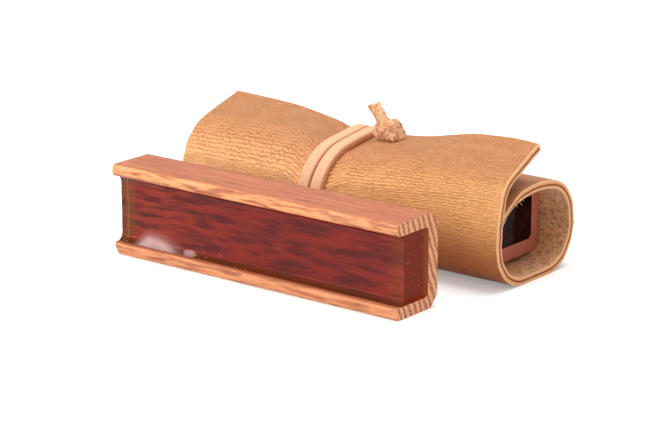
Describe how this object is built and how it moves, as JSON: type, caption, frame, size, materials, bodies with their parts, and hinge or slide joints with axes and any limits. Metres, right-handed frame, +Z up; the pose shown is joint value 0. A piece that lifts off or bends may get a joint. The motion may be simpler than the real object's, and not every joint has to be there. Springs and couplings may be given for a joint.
{
  "type": "cello rosin roll case",
  "caption": "Roll-up leather case tied with a flat lace round a cello rosin cake in its wooden trough, with a matching cake and trough standing in front.",
  "frame": {"origin": "on the resting surface, under the centre of the bounding box of the whole set", "axes": "+X along the roll towards its open right mouth, +Y to the back, +Z up"},
  "size_m": [0.112, 0.0762, 0.0428],
  "materials": {
    "grain_leather": "satin pebbled grain",
    "suede_lining": "matte suede nap",
    "lace_leather": "matte natural tan",
    "trough_wood": "sanded and oiled",
    "rosin": "glossy cast resin"
  },
  "bodies": {
    "roll": {"wrap_leather": "grain_leather", "wrap_lining": "suede_lining", "lace_turns": "lace_leather", "lace_knot": "lace_leather"},
    "stored_bar": {"stored_trough": "trough_wood", "stored_rosin": "rosin"},
    "loose_bar": {"loose_trough": "trough_wood", "loose_rosin": "rosin"}
  },
  "joints": [
    {"name": "stored_bar_slide", "type": "slide", "parent": "roll", "child": "stored_bar", "axis": [1, 0, 0], "range_m": [0, 0.112]},
    {"name": "loose_bar_lift", "type": "slide", "parent": "roll", "child": "loose_bar", "axis": [0, 0, 1], "range_m": [0, 0.06]}
  ]
}
